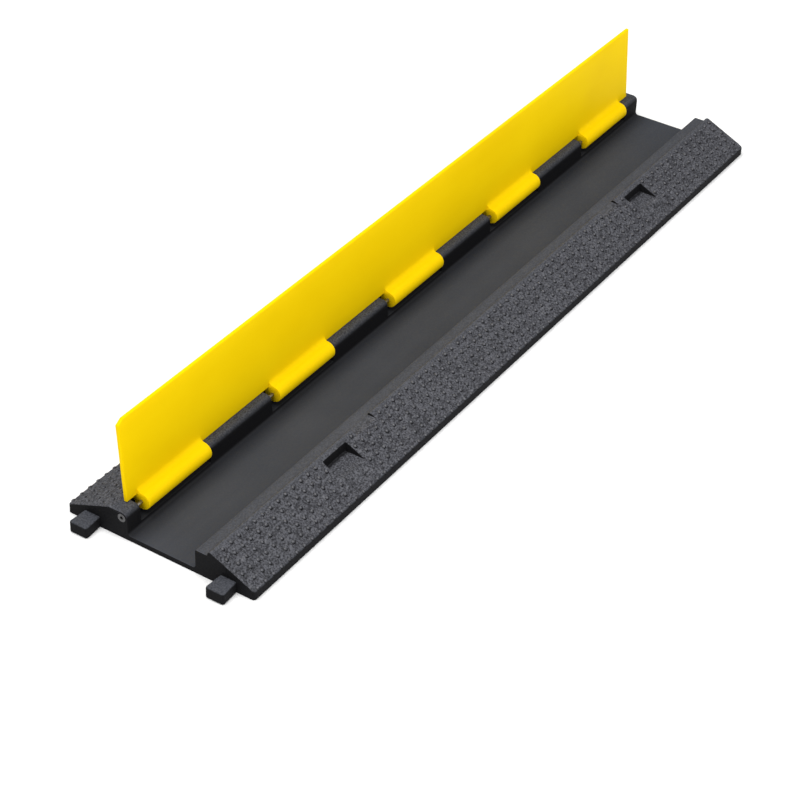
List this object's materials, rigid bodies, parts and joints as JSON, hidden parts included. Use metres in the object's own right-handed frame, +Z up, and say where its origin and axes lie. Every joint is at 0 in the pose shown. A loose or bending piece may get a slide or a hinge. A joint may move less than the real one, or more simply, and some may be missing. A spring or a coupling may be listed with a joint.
{
  "type": "cable protector ramp",
  "caption": "Low drive-over ramp with an open cable channel along its length, a hinged flat cover plate that closes over the channel, and dovetail tabs that join it to the next section.",
  "frame": {"origin": "centre of the base's underside, on the ground, halfway along the base's own length without its tabs", "axes": "+X along the section towards the end with the sockets, +Y across it towards the hinge, +Z up from the ground"},
  "size_m": [1.02, 0.22, 0.1222],
  "materials": {
    "base_rubber": "matte, pebbled on the ramps and smooth in the channel",
    "cover_plastic": "smooth satin moulded PVC",
    "rod_steel": "drawn steel rod",
    "bush_steel": "dull plated steel"
  },
  "bodies": {
    "base": {"base": "base_rubber", "hinge_rod": "rod_steel", "rod_bush_near": "bush_steel", "rod_bush_far": "bush_steel"},
    "cover": {"cover": "cover_plastic"}
  },
  "joints": [
    {"name": "cover_hinge", "type": "hinge", "parent": "base", "child": "cover", "pos_m": [0, 0.044, 0.0242], "axis": [1, 0, 0], "range_deg": [0, 94]}
  ]
}
